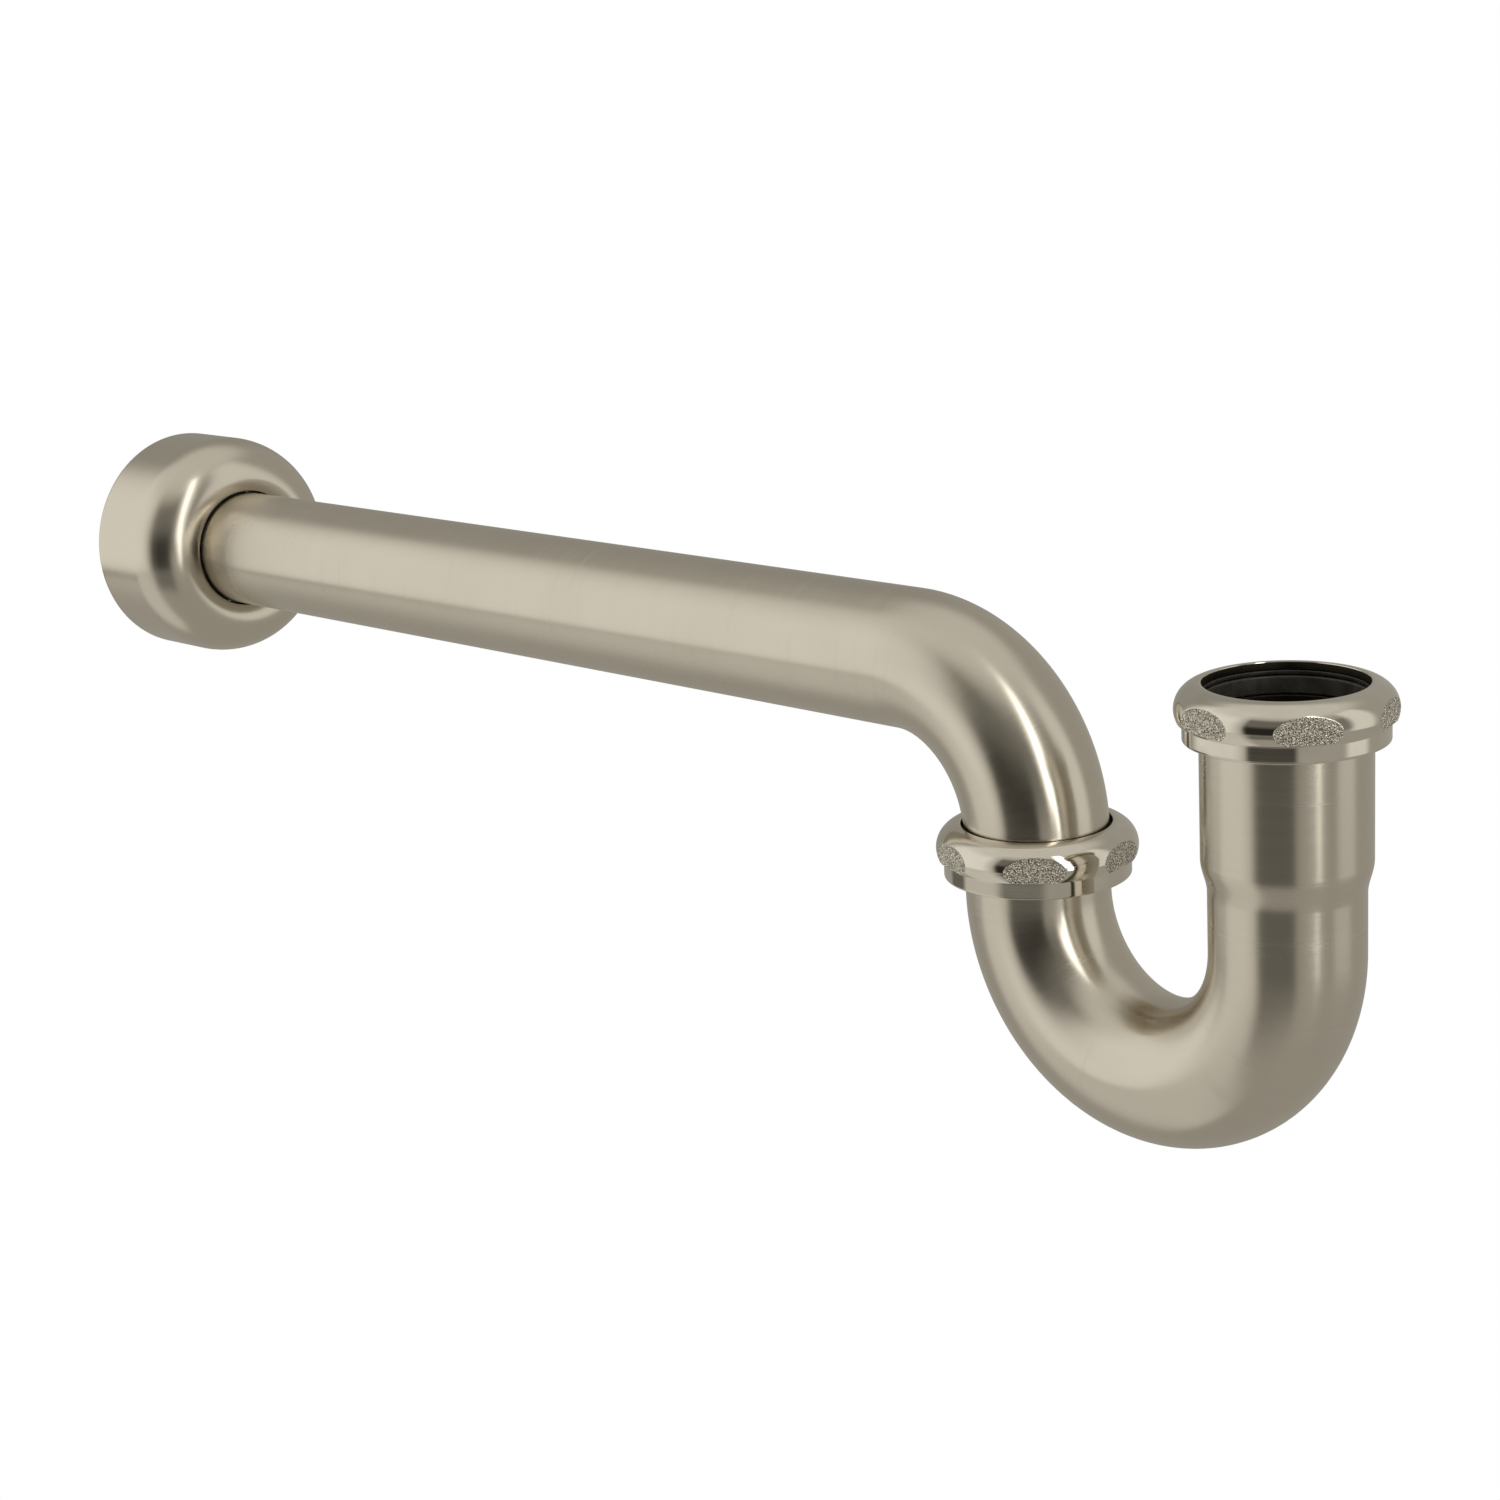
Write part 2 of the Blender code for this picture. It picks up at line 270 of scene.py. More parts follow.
def stepped(points, longest):
    """The open outline with its long sides split, so that they shade as flat up to their ends."""
    dense = []
    for start, end in zip(points, points[1:]):
        pieces = max(1, math.ceil(math.dist(start, end) / longest))
        dense += [(start[0] + (end[0] - start[0]) * k / pieces,
                   start[1] + (end[1] - start[1]) * k / pieces) for k in range(pieces)]
    return dense + points[-1:]


# ---------------------------------------------------------------- placing

def place(piece, location, yaw, body, node):
    """Puts a piece in the frame, rides it on its body and lets it stand for its CAD node."""
    piece.data.transform(Matrix.Translation(location) @ Matrix.Rotation(yaw, 4, "Z"))
    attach(piece, body)
    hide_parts(node)


# ---------------------------------------------------------------- materials

class Graph:
    """Adds nodes to a node tree, with their inputs given as values or as other nodes' sockets."""

    def __init__(self, tree):
        self.tree = tree

    def add(self, kind, inputs=(), output=0, **settings):
        made = self.tree.nodes.new(kind)
        for name, value in settings.items():
            setattr(made, name, value)
        for name, value in dict(inputs).items():
            if isinstance(value, bpy.types.NodeSocket):
                self.tree.links.new(value, made.inputs[name])
            else:
                made.inputs[name].default_value = value
        return made.outputs[output]

    def math(self, operation, first, second=0.0):
        return self.add("ShaderNodeMath", {0: first, 1: second}, operation=operation)

    def noise(self, vector, scale, detail=3.0, roughness=0.55):
        """Noise from about 0 to 1."""
        inputs = {"Vector": vector, "Scale": scale, "Detail": detail, "Roughness": roughness}
        return self.add("ShaderNodeTexNoise", inputs)

    def span(self, value, low, high, to_low, to_high, smooth=False):
        """Maps low..high onto to_low..to_high and holds it inside."""
        kind = "SMOOTHSTEP" if smooth else "LINEAR"
        inputs = {"Value": value, "From Min": low, "From Max": high, "To Min": to_low, "To Max": to_high}
        return self.add("ShaderNodeMapRange", inputs, interpolation_type=kind)

    def blend(self, factor, first, second):
        inputs = {0: factor, 6: first, 7: second}
        return self.add("ShaderNodeMix", inputs, output=2, data_type="RGBA")

    def bump(self, height, distance):
        inputs = {"Height": height, "Distance": distance, "Strength": 1.0}
        return self.add("ShaderNodeBump", inputs)


def new_material(name):
    """(material, graph, its shader node)."""
    material = bpy.data.materials.new(name)
    material.use_nodes = True
    return material, Graph(material.node_tree), material.node_tree.nodes["Principled BSDF"]


def finish(graph, shader, color, roughness, normal, **fixed):
    """Links what varies over the surface and sets what doesn't on the shader's own sockets."""
    for name, value in (("Base Color", color), ("Roughness", roughness), ("Normal", normal)):
        graph.tree.links.new(value, shader.inputs[name])
    for name, value in fixed.items():
        shader.inputs[name.replace("_", " ")].default_value = value


def round_grain(graph, along, turns):
    """A vector that changes fast along the piece and slowly round it, with no seam.

    along is the grain's spacing in metres and turns how many times it changes in one turn.
    """
    uv = graph.add("ShaderNodeSeparateXYZ", {0: graph.add("ShaderNodeUVMap", uv_map="grain")})
    source = uv.node
    angle = graph.math("MULTIPLY", source.outputs[0], math.tau)
    reach = turns / math.tau
    x = graph.math("MULTIPLY", graph.math("COSINE", angle), reach)
    y = graph.math("MULTIPLY", graph.math("SINE", angle), reach)
    z = graph.math("MULTIPLY", source.outputs[1], 1 / along)
    return graph.add("ShaderNodeCombineXYZ", {0: x, 1: y, 2: z})


# Colours in linear light. A blend's first colour is where its pattern is low.
SATIN, SATIN_BRIGHT = (0.675, 0.630, 0.545, 1), (0.700, 0.654, 0.566, 1)
SATIN_CLOUD, SATIN_CLOUD_SHARE = (0.64, 0.590, 0.500, 1), 0.25
POLISHED, POLISHED_CLOUD = (0.745, 0.705, 0.625, 1), (0.700, 0.660, 0.580, 1)
# The sanded flats' dark pit colour is painted shade and their bright top colour is painted highlight.
SANDED_PIT_SHADE, SANDED_TOP_HIGHLIGHT = (0.38, 0.35, 0.30, 1), (0.88, 0.84, 0.75, 1)
# The bore colours are near-black painted shade for the hollows inside tubes, nut holes and the flange's
# neck.
BORE_SHADE_LOW, BORE_SHADE_HIGH = (0.030, 0.026, 0.020), (0.050, 0.043, 0.031)
BRASS_LOW, BRASS_HIGH = (0.62, 0.44, 0.19), (0.74, 0.56, 0.28)
BLACK_RUBBER, DARK_NYLON = (0.042, 0.040, 0.033), (0.026, 0.024, 0.020)

# How far apart the marks stand along a piece, and how deep they are.
BRUSH_FINE, BRUSH_COARSE, BRUSH_WORN = 0.22 * MM, 1.1 * MM, 4 * MM
BRUSH_DEPTH = 0.001 * MM
TURNING_MARKS, TURNING_DEPTH = 0.28 * MM, 0.002 * MM
SANDED_DEPTH = 0.5 * MM
BARE_MARKS, BARE_DEPTH = 0.5 * MM, 0.02 * MM
RUBBER_SKIN, NYLON_SKIN, SKIN_DEPTH = 0.6 * MM, 1.1 * MM, 0.03 * MM

# How much rougher the worn patches are, and what a cloud adds or takes away.
WORN_ROUGHNESS = 0.04
CLOUD_ROUGHNESS = 0.02
# Highlights smear along the grain's V, a quarter turn from U.
QUARTER_TURN = 0.25


def brushed_nickel(name, roughness_low, roughness_high, smear):
    """Satin nickel, brushed round the piece, so that highlights smear along it."""
    material, graph, shader = new_material(name)
    place_in_metres = graph.add("ShaderNodeTexCoord", output=3)
    fine = graph.noise(round_grain(graph, BRUSH_FINE, turns=5), scale=1.0, detail=2.0)
    coarse = graph.noise(round_grain(graph, BRUSH_COARSE, turns=3), scale=1.0, detail=4.0)
    wear = graph.noise(round_grain(graph, BRUSH_WORN, turns=2), scale=1.0, detail=5.0)
    cloud = graph.noise(place_in_metres, scale=38.0, detail=3.0)
    streaks = graph.math("ADD", graph.math("MULTIPLY", fine, 0.6), graph.math("MULTIPLY", coarse, 0.4))
    worn = graph.span(wear, 0.56, 0.74, 0.0, 1.0, smooth=True)
    color = graph.blend(graph.span(streaks, 0.3, 0.7, 0.0, 1.0), SATIN, SATIN_BRIGHT)
    color = graph.blend(graph.math("MULTIPLY", cloud, SATIN_CLOUD_SHARE), color, SATIN_CLOUD)
    roughness = graph.span(streaks, 0.3, 0.7, roughness_low, roughness_high)
    roughness = graph.math("ADD", roughness, graph.math("MULTIPLY", worn, WORN_ROUGHNESS))
    clouded = graph.span(cloud, 0.3, 0.7, -CLOUD_ROUGHNESS, CLOUD_ROUGHNESS)
    roughness = graph.math("ADD", roughness, clouded)
    normal = graph.bump(streaks, BRUSH_DEPTH)
    tangent = graph.add("ShaderNodeTangent", direction_type="UV_MAP", uv_map="grain")
    graph.tree.links.new(tangent, shader.inputs["Tangent"])
    finish(graph, shader, color, roughness, normal, Metallic=1.0, Anisotropic=smear,
           Anisotropic_Rotation=QUARTER_TURN)
    return material


def polished_nickel(name, roughness_low, roughness_high):
    """Bright nickel on a cast or turned nut, with fine turning marks."""
    material, graph, shader = new_material(name)
    place_in_metres = graph.add("ShaderNodeTexCoord", output=3)
    turning = graph.noise(round_grain(graph, TURNING_MARKS, turns=1.5), scale=1.0, detail=3.0)
    cloud = graph.noise(place_in_metres, scale=160.0, detail=4.0)
    color = graph.blend(graph.span(cloud, 0.35, 0.7, 0.0, 1.0), POLISHED, POLISHED_CLOUD)
    roughness = graph.span(graph.math("MULTIPLY", graph.math("ADD", turning, cloud), 0.5),
                           0.35, 0.65, roughness_low, roughness_high)
    normal = graph.bump(turning, TURNING_DEPTH)
    finish(graph, shader, color, roughness, normal, Metallic=1.0)
    return material


def sanded_nickel_painted_light():
    """Nickel over coarse sanded casting, with painted highlight on its grains and painted shade in the
    dark pits between them.
    """
    material, graph, shader = new_material("sanded_nickel_painted_light")
    place_in_metres = graph.add("ShaderNodeTexCoord", output=3)
    grains = graph.noise(place_in_metres, scale=2300.0, detail=1.0)
    # Painted highlight on the grains' tops, painted shade in the pits between them.
    painted_light_tops = graph.span(grains, 0.40, 0.56, 0.0, 1.0, smooth=True)
    color = graph.blend(painted_light_tops, SANDED_PIT_SHADE, SANDED_TOP_HIGHLIGHT)
    roughness = graph.span(grains, 0.3, 0.7, 0.34, 0.16)
    normal = graph.bump(grains, SANDED_DEPTH)
    finish(graph, shader, color, roughness, normal, Metallic=1.0)
    return material


def bare_metal_and_painted_shade(name, low, high, roughness):
    """Dull and patchy metal: unplated brass left so by a thread cutter, or near-black painted shade in
    hollows.
    """
    material, graph, shader = new_material(name)
    place_in_metres = graph.add("ShaderNodeTexCoord", output=3)
    patches = graph.noise(place_in_metres, scale=90.0, detail=6.0, roughness=0.65)
    marks = graph.noise(round_grain(graph, BARE_MARKS, turns=3), scale=1.0, detail=3.0)
    color = graph.blend(graph.span(patches, 0.35, 0.65, 0.0, 1.0), (*low, 1), (*high, 1))
    rough = graph.span(patches, 0.3, 0.7, roughness - 0.08, roughness + 0.1)
    finish(graph, shader, color, rough, graph.bump(marks, BARE_DEPTH), Metallic=1.0)
    return material


def moulded(name, color, roughness, grain_size):
    """Rubber or nylon out of a mould: near black, faintly mottled, with a fine skin."""
    material, graph, shader = new_material(name)
    place_in_metres = graph.add("ShaderNodeTexCoord", output=3)
    mottle = graph.noise(place_in_metres, scale=220.0, detail=4.0)
    skin = graph.noise(place_in_metres, scale=1 / grain_size, detail=2.0)
    lighter = tuple(part * 1.9 for part in color)
    tone = graph.blend(graph.span(mottle, 0.35, 0.7, 0.0, 1.0), (*color, 1), (*lighter, 1))
    rough = graph.span(mottle, 0.3, 0.7, roughness - 0.06, roughness + 0.08)
    finish(graph, shader, tone, rough, graph.bump(skin, SKIN_DEPTH), Metallic=0.0)
    return material


BRUSHED = brushed_nickel("brushed_nickel", 0.22, 0.27, smear=0.75)
DRAWN = brushed_nickel("drawn_nickel", 0.21, 0.26, smear=0.45)
DOME = polished_nickel("polished_nickel", 0.05, 0.11)
SKIRT = polished_nickel("turned_nickel", 0.05, 0.11)
SANDED = sanded_nickel_painted_light()
# The bore material paints near-black shade into hollows.
BORE_SHADE = bare_metal_and_painted_shade("bore_painted_shade", BORE_SHADE_LOW, BORE_SHADE_HIGH, roughness=0.55)
BRASS = bare_metal_and_painted_shade("bare_brass", BRASS_LOW, BRASS_HIGH, roughness=0.32)
RUBBER = moulded("black_rubber", BLACK_RUBBER, roughness=0.42, grain_size=RUBBER_SKIN)
NYLON = moulded("dark_nylon", DARK_NYLON, roughness=0.38, grain_size=NYLON_SKIN)


# ---------------------------------------------------------------- tubes

def straight(start, end, heading, radius, pieces):
    """Stations from start to end, without the end, both (x, z)."""
    shares = np.arange(pieces) / pieces
    return [(start[0] + (end[0] - start[0]) * s, start[1] + (end[1] - start[1]) * s,
             heading, radius) for s in shares]


def arm_path(radius, end_z):
    """The arm, the quarter bend and the short way down to end_z."""
    bend_x = OUTLET_LIP.x - BEND_R
    path = straight((ARM_END_X + GAP, 0), (bend_x, 0), 0, radius, 90)
    for turn in np.linspace(0, math.pi / 2, 61):
        path.append((bend_x + BEND_R * math.sin(turn), BEND_R * (math.cos(turn) - 1),
                     -turn, radius))
    path += straight((OUTLET_LIP.x, -BEND_R - 0.02 * MM), (OUTLET_LIP.x, end_z), DOWN, radius, 3)
    return path


def wall_bend():
    flare_top = OUTLET_LIP.z - SEAL_TOP
    flare_bottom = OUTLET_LIP.z - FLARE_BOTTOM
    outside = [(ARM_END_X, 0, 0, TUBE_R - EDGE), (ARM_END_X + EDGE / 3, 0, 0, TUBE_R - EDGE / 3)]
    outside += arm_path(TUBE_R, flare_top)
    flare = [(TUBE_R, flare_top), (FLARE_R - EDGE, flare_top), (FLARE_R, flare_top - EDGE),
             (FLARE_R, flare_bottom + EDGE), (FLARE_R - EDGE, flare_bottom),
             (BORE_R + EDGE, flare_bottom)]
    rim = [(OUTLET_LIP.x, z, DOWN, r) for r, z in flare]
    inside = arm_path(BORE_R, flare_bottom + EDGE)[::-1]
    inside += [(ARM_END_X + EDGE / 3, 0, 0, BORE_R + EDGE / 3), (ARM_END_X, 0, 0, BORE_R + EDGE)]
    grid = swept(outside + rim + inside)
    # The inside rows take the bore's painted shade.
    slots = [0] * (len(outside) + len(rim)) + [1] * (len(inside) - 2) + [0, 0]
    piece = shell("wall_bend_tube", grid, [BRUSHED, BORE_SHADE], slots)
    place(piece, (0, 0, 0), 0, "wall_bend", "wall_bend")


def u_path(radius):
    """The U under both legs, from the outlet leg round to the inlet leg."""
    path = []
    for turn in np.linspace(0, math.pi, 121):
        path.append((CENTRES / 2 * (1 - math.cos(turn)), U_CENTRE_Z - CENTRES / 2 * math.sin(turn),
                     turn + DOWN, radius))
    return path


def leg_path(low_radius, socket_radius, end_z):
    """The inlet leg: a straight foot, the swage and the socket, up to end_z."""
    path = straight((CENTRES, U_CENTRE_Z + 0.5 * MM), (CENTRES, SWAGE_LOW_Z), UP, low_radius, 8)
    for share in np.linspace(0, 1, 25):
        swell = (1 - math.cos(math.pi * share)) / 2
        path.append((CENTRES, SWAGE_LOW_Z + (SWAGE_HIGH_Z - SWAGE_LOW_Z) * share, UP,
                     low_radius + (socket_radius - low_radius) * swell))
    return path + straight((CENTRES, SWAGE_HIGH_Z + 0.5 * MM), (CENTRES, end_z), UP,
                           socket_radius, 20)


def j_bend():
    """The J bend in its own frame: outlet axis at the origin, inlet axis at +X."""
    outlet_end, inlet_end = OUTLET_LIP.z - RIM_DEPTH, INLET_LIP.z - RIM_DEPTH
    outside = [(0, outlet_end, DOWN, TUBE_R - EDGE), (0, outlet_end - EDGE, DOWN, TUBE_R)]
    outside += straight((0, outlet_end - 1 * MM), (0, U_CENTRE_Z), DOWN, TUBE_R, 8)
    outside += u_path(TUBE_R) + leg_path(TUBE_R, SOCKET_R, inlet_end - EDGE)
    outside += [(CENTRES, inlet_end - EDGE, UP, SOCKET_R), (CENTRES, inlet_end, UP, SOCKET_R - EDGE)]
    inside = [(0, outlet_end, DOWN, BORE_R + EDGE), (0, outlet_end - EDGE, DOWN, BORE_R)]
    inside += straight((0, outlet_end - 1 * MM), (0, U_CENTRE_Z), DOWN, BORE_R, 8)
    inside += u_path(BORE_R) + leg_path(BORE_R, SOCKET_BORE_R, inlet_end - EDGE)
    inside += [(CENTRES, inlet_end - EDGE, UP, SOCKET_BORE_R),
               (CENTRES, inlet_end, UP, SOCKET_BORE_R + EDGE)]
    grid = swept(outside + inside[::-1])
    # The inside rows take the bore's painted shade.
    slots = [0] * (len(outside) - 1) + [1] * len(inside) + [0]
    piece = shell("j_bend_tube", grid, [BRUSHED, BORE_SHADE], slots)
    place(piece, (OUTLET_LIP.x, OUTLET_LIP.y, 0), TRAP_YAW, "trap", "j_bend")


# ---------------------------------------------------------------- flange

def wall_flange():
    """The drawn cup, turned about its own axis and then laid along the arm."""
    shoulder = (CREST_R, FLANGE_DEPTH - SHOULDER_DEPTH)
    roll = (CREST_R, FLANGE_DEPTH - ROLL_RADIUS)
    lip_angle = 180 - math.degrees(math.acos((CREST_R - FLANGE_HOLE_R) / ROLL_RADIUS))
    outside = [(FLANGE_R - FLANGE_EDGE, 0), (FLANGE_R - FLANGE_EDGE / 3, FLANGE_EDGE / 3),
               (FLANGE_R, FLANGE_EDGE)]
    outside += [(FLANGE_R, z) for z in np.linspace(1 * MM, shoulder[1], 20, endpoint=False)]
    outside += arc(shoulder, FLANGE_R - CREST_R, SHOULDER_DEPTH, 0, 90, 48)
    outside += arc(roll, ROLL_RADIUS, ROLL_RADIUS, ROLL_START, lip_angle, 16)
    lip_z = outside[-1][1]
    neck_start, neck_end = lip_z - NECK_MOUTH, lip_z - NECK_LENGTH
    neck = [(FLANGE_HOLE_R, lip_z - FLANGE_EDGE)]
    neck += [(NECK_R, z) for z in np.linspace(neck_start, neck_end, 6)]
    inside = [(FLANGE_R - FLANGE_SHEET + FLANGE_EDGE, 0), (FLANGE_R - FLANGE_SHEET, FLANGE_EDGE)]
    inside += arc(shoulder, FLANGE_R - CREST_R - FLANGE_SHEET, SHOULDER_DEPTH - FLANGE_SHEET,
                  0, 90, 24)
    inner_roll = ROLL_RADIUS - FLANGE_SHEET
    inner_reach = CREST_R - NECK_R - NECK_SHEET
    inner_lip_angle = 180 - math.degrees(math.acos(inner_reach / inner_roll))
    inside += arc(roll, inner_roll, inner_roll, ROLL_START, inner_lip_angle, 10)
    inside += [(NECK_R + NECK_SHEET, neck_end)]
    angles = np.linspace(0, math.tau, FLANGE_COLUMNS, endpoint=False)
    grid = turned(outside + neck + inside[::-1], angles)
    laid = grid @ np.array(Matrix.Rotation(math.radians(90), 3, "Y")).T
    # The neck and the cup's inside take the bore's painted shade.
    slots = [0] * len(outside) + [1] * (len(neck) + len(inside) - 2) + [0, 0]
    piece = shell("wall_flange_cup", laid, [DRAWN, BORE_SHADE], slots)
    place(piece, (0, 0, 0), 0, "flange", "wall_flange")


# ---------------------------------------------------------------- threads, nuts and seals

def thread_rows(angle, start, low, high, base_r, tip_r, widths, phase):
    """One column of a thread between two heights; a full turn of it has ROWS_PER_TURN rows."""
    turns = math.ceil((high - low) / PITCH) + 2
    bottom = low - PITCH * (1.0 + phase) + PITCH * (angle - start) / math.tau
    rows = [(base_r, low)]
    for turn in range(turns + 1):
        height = bottom + turn * PITCH
        for width, radius in zip(widths, (base_r, tip_r, tip_r, base_r)):
            height += width
            inside = min(max(height, low), high)
            fade = min(1.0, (inside - low) / RUN_OUT, (high - inside) / RUN_OUT)
            rows.append((base_r + (radius - base_r) * fade, inside))
    return [*rows, (base_r, high)]


ROWS_PER_TURN = 4


def threaded_shell(name, thread, section_rest, angles, materials, slots):
    """A closed body whose section starts with a thread, joined to itself one turn further on."""
    last_row = len(thread(angles[0])) - 1

    def seam_row(row):
        moved = np.minimum(row + ROWS_PER_TURN, last_row)
        return np.where((row > 0) & (row < last_row), moved, row)

    grid = turned(lambda angle: thread(angle) + section_rest(angle), angles)
    return shell(name, grid, materials, slots, seam_row)


def ferrule(side, lip, bore_r):
    """The threaded collar on an end of the J bend."""
    low, high = -FERRULE_BOTTOM, -RIM_DEPTH
    widths = (PITCH - FERRULE_CREST_WIDTH - 2 * FLANK, FLANK, FERRULE_CREST_WIDTH, FLANK)
    crest_r = FERRULE_ROOT_R + THREAD_DEPTH

    def thread(angle):
        return thread_rows(angle, 0.0, low, high, FERRULE_ROOT_R, crest_r, widths, 0.0)

    angles = np.linspace(0, math.tau, THREAD_COLUMNS, endpoint=False)
    rest = [(bore_r, high), (bore_r, low)]
    piece = threaded_shell(f"{side}_thread_collar", thread, lambda angle: rest, angles, [BRASS], [0])
    place(piece, lip, TRAP_YAW, "trap", f"{side}_ferrule")


def nut_angles(azimuth):
    """Close together across each flat and further apart between, once round from azimuth."""
    step = math.tau / NUT_FLATS
    half = math.acos(NUT_FLAT_R / NUT_R) + math.radians(1.5)
    across = np.linspace(-half, half, FLAT_COLUMNS)
    between = np.linspace(half, step - half, CORNER_COLUMNS)[1:-1]
    one = np.concatenate([across, between])
    return np.concatenate([one + k * step for k in range(NUT_FLATS)]) + azimuth


def stipple(across, height, seed):
    """A coarse sanded texture between -1 and 1: ripples of about one length in many directions."""
    random = np.random.default_rng(seed)
    total = np.zeros_like(across)
    for heading, phase, spread in random.random((STIPPLE_WAVES, 3)):
        wave = math.tau / (STIPPLE_WAVELENGTH * (0.75 + 0.5 * spread))
        total += np.cos(wave * (across * math.cos(math.pi * heading)
                                + height * math.sin(math.pi * heading)) + math.tau * phase)
    return np.tanh(STIPPLE_CONTRAST * total / math.sqrt(STIPPLE_WAVES / 2))


DOME_SLOT, SKIRT_SLOT, SANDED_SLOT, BRASS_SLOT, BORE_SHADE_SLOT = range(5)


def slip_nut(side, lip, azimuth, body):
    """A domed nut with six stippled flats, a plain skirt and its thread."""
    low, high = -NUT_HEIGHT, -NUT_RELIEF_DEPTH
    root_r = NUT_CREST_R + THREAD_DEPTH
    widths = (PITCH - NUT_CREST_WIDTH - 2 * FLANK, FLANK, NUT_CREST_WIDTH, FLANK)
    turn_from_trap = azimuth - TRAP_YAW
    climb = FERRULE_BOTTOM - NUT_HEIGHT + (FERRULE_CREST_WIDTH - NUT_CREST_WIDTH) / 2
    phase = (climb / PITCH - turn_from_trap / math.tau - 0.5) % 1.0
    angles = nut_angles(turn_from_trap)
    dome = arc((NUT_R - DOME_RADIUS, -DOME_RADIUS), DOME_RADIUS, DOME_RADIUS,
               DOME_START, DOME_END, 84)
    outline = [(root_r, -NUT_LIP), (NUT_HOLE_R, -NUT_LIP), (NUT_HOLE_R, -EDGE),
               (NUT_HOLE_R + EDGE * 0.3, -EDGE * 0.3), (NUT_HOLE_R + EDGE, 0),
               (NUT_HOLE_R + 3 * EDGE, 0)]
    hole_rows = 2
    skirt = rounded([(dome[-1][0], dome[-1][1], 0), (NUT_SKIRT_R, -SKIRT_DEPTH, SKIRT_CORNER),
                     (NUT_SKIRT_R, -NUT_HEIGHT, NUT_FOOT_CORNER), (root_r, -NUT_HEIGHT, 0)])[1:-1]
    skirt = stepped(skirt, LONGEST_SKIRT_ROW)
    outline = np.array(outline + dome + skirt)
    step = math.tau / NUT_FLATS

    def section_rest(angle):
        off_flat = (angle - turn_from_trap + step / 2) % step - step / 2
        flat = NUT_FLAT_R / math.cos(off_flat)
        radius, height = outline.T
        cut = np.clip((radius - flat) / STIPPLE_FADE, 0, 1)
        number = round((angle - turn_from_trap - off_flat) / step) % NUT_FLATS
        across = np.full(len(radius), NUT_FLAT_R * math.tan(off_flat))
        grain = stipple(across, height, seed=len(side) * 10 + number)
        rough = flat + STIPPLE_DEPTH * cut * (grain - STIPPLE_BIAS)
        radius = np.where(radius > flat, rough, radius)
        return list(zip(radius, height))

    def thread(angle):
        return thread_rows(angle, angles[0], low, high, root_r, NUT_CREST_R, widths, phase_at_start)

    # The rows start at the first angle, so the phase is moved on by its turn from the azimuth.
    phase_at_start = (phase - (angles[0] - turn_from_trap) / math.tau) % 1.0
    thread_count = len(thread(angles[0]))
    skirt_start = thread_count + len(outline) - len(skirt)
    slots = np.full((len(angles), thread_count + len(outline)), DOME_SLOT)
    slots[:, :thread_count] = BRASS_SLOT
    # The lip's underside and the hole wall take the bore's painted shade.
    slots[:, thread_count:thread_count + hole_rows] = BORE_SHADE_SLOT
    slots[:, skirt_start:] = SKIRT_SLOT
    radius = outline[:, 0]
    for column, angle in enumerate(angles):
        off_flat = (angle - turn_from_trap + step / 2) % step - step / 2
        slots[column, thread_count:][radius > NUT_FLAT_R / math.cos(off_flat)] = SANDED_SLOT
    materials = [DOME, SKIRT, SANDED, BRASS, BORE_SHADE]
    piece = threaded_shell(f"{side}_nut", thread, section_rest, angles, materials, slots)
    place(piece, lip, TRAP_YAW, body, f"{side}_slip_nut")


def ring(name, lip, body, node, material, corners):
    """A turned ring from (radius, depth below the lip, rounding) corners."""
    outline = rounded([(r, -depth, bend) for r, depth, bend in corners], steps=6)
    grid = turned(outline, np.linspace(0, math.tau, RING_COLUMNS, endpoint=False))
    place(shell(name, grid, [material], [0]), lip, TRAP_YAW, body, node)


def friction_ring(side, lip):
    """The smooth ring under the nut's lip."""
    corners = [(RING_BORE_R, RING_TOP, 0.3 * MM), (RING_R, RING_TOP, 0.2 * MM),
               (RING_R, RING_BOTTOM, 0.2 * MM), (RING_BORE_R, RING_BOTTOM, 0.3 * MM)]
    ring(f"{side}_slip_ring", lip, f"{side}_ring", f"{side}_friction_ring",
         NYLON, corners)


def washer(side, lip, bore_r, top):
    """The seal that the nut presses on the J bend's end."""
    corners = [(bore_r, top, 0.6 * MM), (SEAL_R, top, 0.4 * MM),
               (SEAL_R, SEAL_BOTTOM, 0.4 * MM), (bore_r, SEAL_BOTTOM, 0.4 * MM)]
    ring(f"{side}_seal", lip, "trap", f"{side}_washer", RUBBER, corners)


def joint_stack(side, lip, azimuth, ferrule_bore_r, seal_bore_r, seal_top):
    """A nut and all that it holds."""
    slip_nut(side, lip, azimuth, f"{side}_nut")
    friction_ring(side, lip)
    washer(side, lip, seal_bore_r, seal_top)
    ferrule(side, lip, ferrule_bore_r)


# ---------------------------------------------------------------- stage

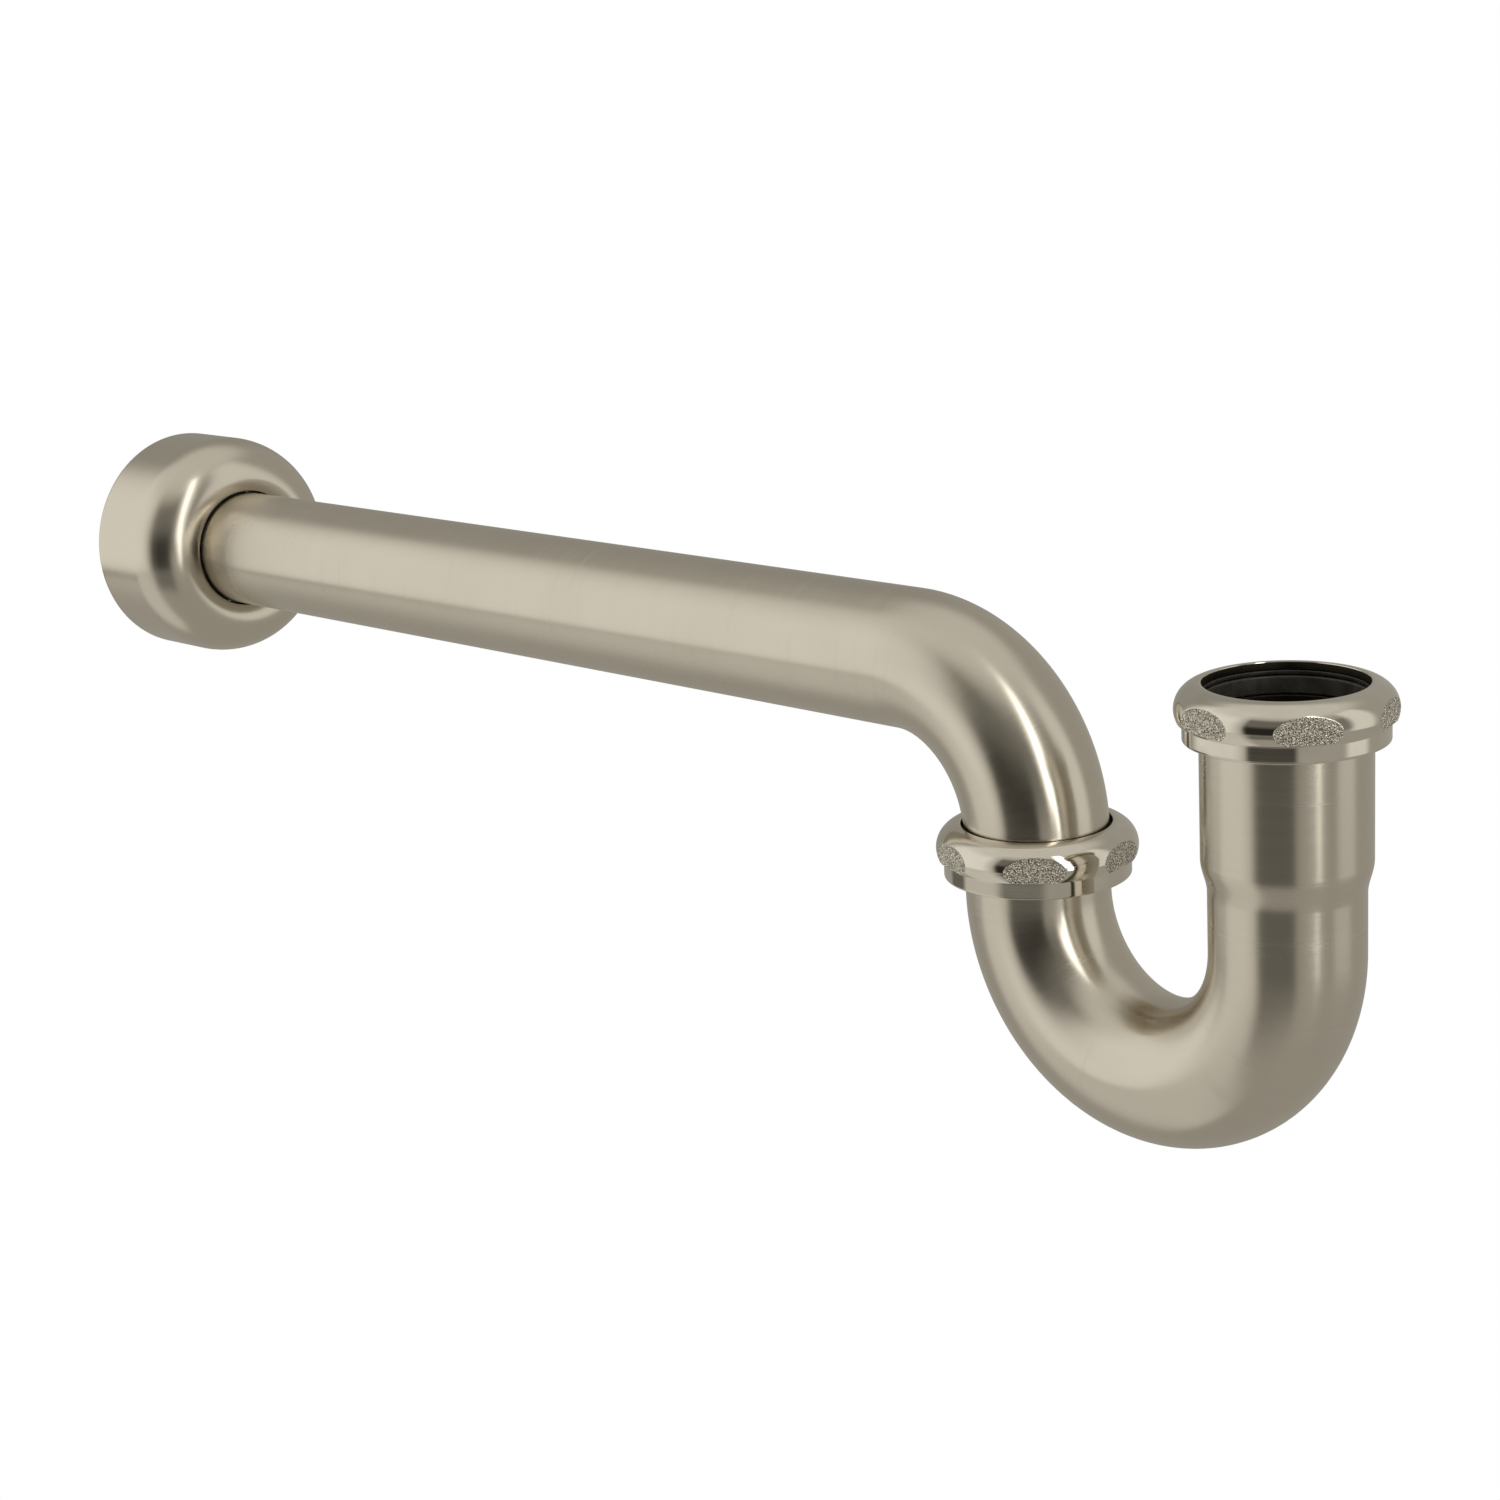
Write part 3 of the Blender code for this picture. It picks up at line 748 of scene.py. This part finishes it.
def camera():
    """Right front of the trap and a little above, with a slight roll."""
    data = bpy.data.cameras.new("camera")
    data.sensor_width = 36
    data.lens = 67.0
    data.clip_end = 50
    cam = bpy.data.objects.new("camera", data)
    bpy.context.scene.collection.objects.link(cam)
    heading, dip, roll = 2.379, 0.260, -0.057
    forward = Vector((math.cos(heading) * math.cos(dip), math.sin(heading) * math.cos(dip),
                      -math.sin(dip)))
    right = forward.cross(Vector((0, 0, 1))).normalized()
    up = right.cross(forward)
    right, up = (math.cos(roll) * right + math.sin(roll) * up,
                 math.cos(roll) * up - math.sin(roll) * right)
    turn = Matrix((right, up, -forward)).transposed().to_4x4()
    offset = Vector((454.6, -536.2, 171.1)) * MM
    cam.matrix_world = Matrix.Translation(Vector((OUTLET_LIP.x, OUTLET_LIP.y, 0)) + offset) @ turn
    bpy.context.scene.camera = cam


FLOOR_SIZE = 20
FLOOR_CENTRE = (0.2, 0, -0.35)


def floor():
    """A plain white floor under the trap, which only the camera sees."""
    material = bpy.data.materials.new("white_floor")
    material.use_nodes = True
    graph = Graph(material.node_tree)
    glow = graph.add("ShaderNodeEmission", {"Color": WHITE, "Strength": 1.0})
    graph.tree.links.new(glow, material.node_tree.nodes["Material Output"].inputs["Surface"])
    bpy.ops.mesh.primitive_plane_add(size=FLOOR_SIZE, location=FLOOR_CENTRE)
    plane = bpy.context.object
    plane.name = "floor"
    plane.data.materials.append(material)
    plane.visible_glossy = False
    plane.visible_diffuse = False
    plane.visible_shadow = False


# The studio as cards on a sphere round the trap, each painted over those before it: the azimuths
# and the elevations that it spans, each with its soft edge, in degrees, and its brightness.
STUDIO = (
    ("ceiling", (-180, 180, 0), (52, 128, 12), 0.66),
    ("back_wall", (124, 190, 12), (-90, 46, 12), 0.33),
    ("dark_room", (-99, -27, 3), (-3, 43, 6), 0.17),
    ("dark_corner", (-99, -44, 4), (-90, 15, 8), 0.025),
    ("key_box", (-174, -106, 12), (-30, 52, 24), 0.90),
    ("strip_foot", (-16, -10, 1.5), (-10, 8, 3), 4.2),
    ("strip_box", (-25, -12, 2), (3, 60, 3), 2.9),
    ("dark_gap", (0, 17, 3), (-10, 35, 6), 0.22),
    ("side_box", (14, 44, 6), (-90, 52, 5), 0.78),
    ("table", (-180, 180, 0), (-120, -16.8, 0.8), 0.38),
    ("table_under_dark", (-99, -42, 8), (-34, -16.8, 5), 0.17),
    ("table_by_key", (-156, -100, 10), (-70, -16.8, 4), 0.66),
    ("table_edge", (-180, -152, 5), (-20, -16.2, 0.8), 0.14),
)
STUDIO_WALL = 0.40
DIM_TINT, BRIGHT_TINT = (1.0, 0.945, 0.82, 1), (1, 0.985, 0.93, 1)
WHITE = (1, 1, 1, 1)


def world():
    """Soft studio light for everything but the camera, which sees plain white."""
    studio = bpy.data.worlds.new("studio")
    bpy.context.scene.world = studio
    studio.use_nodes = True
    graph = Graph(studio.node_tree)
    direction = graph.add("ShaderNodeSeparateXYZ", {0: graph.add("ShaderNodeTexCoord")}).node.outputs
    azimuth = graph.math("DEGREES", graph.math("ARCTAN2", direction[1], direction[0]))
    elevation = graph.math("DEGREES", graph.math("ARCSINE", direction[2]))
    light = STUDIO_WALL
    for name, across, up, brightness in STUDIO:
        inside = 1.0
        for angle, (low, high, soft) in ((azimuth, across), (elevation, up)):
            if high - low < 360:  # A card that runs all the way round has no sides.
                offset = graph.math("SUBTRACT", angle, (low + high) / 2)
                turn = graph.add("ShaderNodeMath", {0: offset, 1: 180.0, 2: -180.0}, operation="WRAP")
                half = (high - low) / 2
                window = graph.span(graph.math("ABSOLUTE", turn), half - soft, half + soft,
                                    1.0, 0.0, smooth=True)
                inside = graph.math("MULTIPLY", inside, window)
        inside.node.label = name
        light = graph.add("ShaderNodeMix", {0: inside, 2: light, 3: brightness}, data_type="FLOAT")
    tint = graph.blend(graph.math("MINIMUM", light, 1.0), DIM_TINT, BRIGHT_TINT)
    lit = graph.add("ShaderNodeBackground", {"Color": tint, "Strength": light})
    white = graph.add("ShaderNodeBackground", {"Color": WHITE, "Strength": 1.0})
    seen = graph.add("ShaderNodeLightPath")
    mixed = graph.add("ShaderNodeMixShader", {0: seen, 1: lit, 2: white})
    graph.tree.links.new(mixed, studio.node_tree.nodes["World Output"].inputs["Surface"])


camera()
floor()
world()
bpy.context.scene.view_settings.view_transform = "Standard"
wall_flange()
wall_bend()
j_bend()
joint_stack("outlet", OUTLET_LIP, OUTLET_NUT_AZIMUTH, TUBE_R + GAP, BORE_R, FLARE_BOTTOM + GAP)
joint_stack("inlet", INLET_LIP, INLET_NUT_AZIMUTH, SOCKET_R + GAP, SOCKET_BORE_R, SEAL_TOP)
